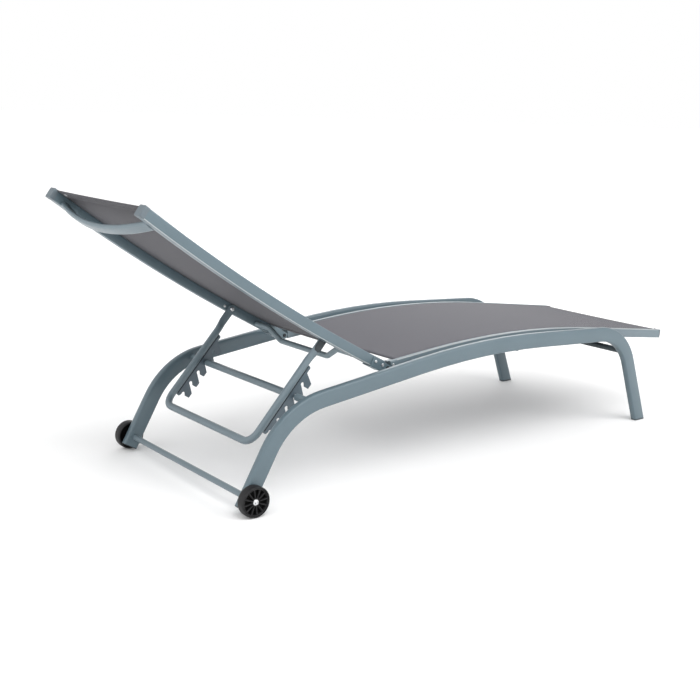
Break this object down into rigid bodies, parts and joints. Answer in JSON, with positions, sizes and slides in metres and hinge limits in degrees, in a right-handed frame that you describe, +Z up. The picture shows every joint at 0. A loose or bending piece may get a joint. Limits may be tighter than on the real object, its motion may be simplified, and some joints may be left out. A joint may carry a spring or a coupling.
{
  "type": "reclining sun lounger",
  "caption": "Low garden sun lounger: curved bent-tube side frames, sling seat and adjustable sling backrest held by a notched prop, small wheels at the head end.",
  "frame": {"origin": "on the floor under the middle of the lounger's bounding box, backrest in its second notch", "axes": "+X towards the foot end, +Y towards the lying person's left, +Z up"},
  "size_m": [1.8578, 0.6568, 0.7314],
  "materials": {
    "powder_coat": "satin slate grey-blue powder coat",
    "coated_plastic": "satin, same colour as the frame",
    "sling": "warm grey woven mesh",
    "black_plastic": "matt black",
    "dark_fittings": "dark grey",
    "bright_steel": "zinc plated"
  },
  "bodies": {
    "frame": {"axle_bolt_left": "bright_steel", "axle_bolt_right": "bright_steel", "axle_tube": "powder_coat", "foot_cap_left": "black_plastic", "foot_cap_right": "black_plastic", "foot_cross_tube": "powder_coat", "middle_cross_tube": "powder_coat", "ratchet_rod": "powder_coat", "ratchet_rod_stub_left": "powder_coat", "ratchet_rod_stub_right": "powder_coat", "rear_leg_plug_left": "dark_fittings", "rear_leg_plug_right": "dark_fittings", "seat_hinge_knuckle_left": "dark_fittings", "seat_hinge_knuckle_right": "dark_fittings", "seat_hinge_screw_left": "bright_steel", "seat_hinge_screw_right": "bright_steel", "seat_rail_cap_left": "coated_plastic", "seat_rail_cap_right": "coated_plastic", "seat_rail_left": "powder_coat", "seat_rail_right": "powder_coat", "seat_sling": "sling", "seat_spacer_foot_left": "powder_coat", "seat_spacer_foot_right": "powder_coat", "seat_spacer_hinge_left": "powder_coat", "seat_spacer_hinge_right": "powder_coat", "seat_spacer_middle_left": "powder_coat", "seat_spacer_middle_right": "powder_coat", "seat_spline_left": "dark_fittings", "seat_spline_right": "dark_fittings", "side_frame_left": "powder_coat", "side_frame_right": "powder_coat"},
    "backrest": {"back_bracket_rivet_left_1": "bright_steel", "back_bracket_rivet_left_2": "bright_steel", "back_bracket_rivet_right_1": "bright_steel", "back_bracket_rivet_right_2": "bright_steel", "back_hinge_bracket_left": "powder_coat", "back_hinge_bracket_right": "powder_coat", "back_rail_cap_left": "coated_plastic", "back_rail_cap_right": "coated_plastic", "back_rail_left": "powder_coat", "back_rail_right": "powder_coat", "back_sling": "sling", "back_spline_left": "dark_fittings", "back_spline_right": "dark_fittings", "head_crossbar": "powder_coat", "hinge_pin_left": "bright_steel", "hinge_pin_right": "bright_steel", "lower_back_crossbar": "powder_coat", "prop_pivot_bolt_left": "bright_steel", "prop_pivot_bolt_right": "bright_steel"},
    "prop": {"prop_frame": "powder_coat", "ratchet_plate_left": "powder_coat", "ratchet_plate_right": "powder_coat"},
    "wheel_left": {"wheel_left": "black_plastic"},
    "wheel_right": {"wheel_right": "black_plastic"}
  },
  "joints": [
    {"name": "recline", "type": "hinge", "parent": "frame", "child": "backrest", "pos_m": [-0.22663, 0, 0.289], "axis": [0, 1, 0], "range_deg": [-31.6, 30.6]},
    {"name": "prop_swing", "type": "hinge", "parent": "backrest", "child": "prop", "pos_m": [-0.40763, 0, 0.384], "axis": [0, 1, 0], "range_deg": [-31.6, 31.6]},
    {"name": "wheel_spin_left", "type": "hinge", "parent": "frame", "child": "wheel_left", "pos_m": [-0.67863, 0.315, 0.0386], "axis": [0, 1, 0], "continuous": true},
    {"name": "wheel_spin_right", "type": "hinge", "parent": "frame", "child": "wheel_right", "pos_m": [-0.67863, -0.315, 0.0386], "axis": [0, 1, 0], "continuous": true}
  ],
  "couplings": [
    {"joint": "prop_swing", "follows": "recline", "ratio": -0.9813}
  ]
}
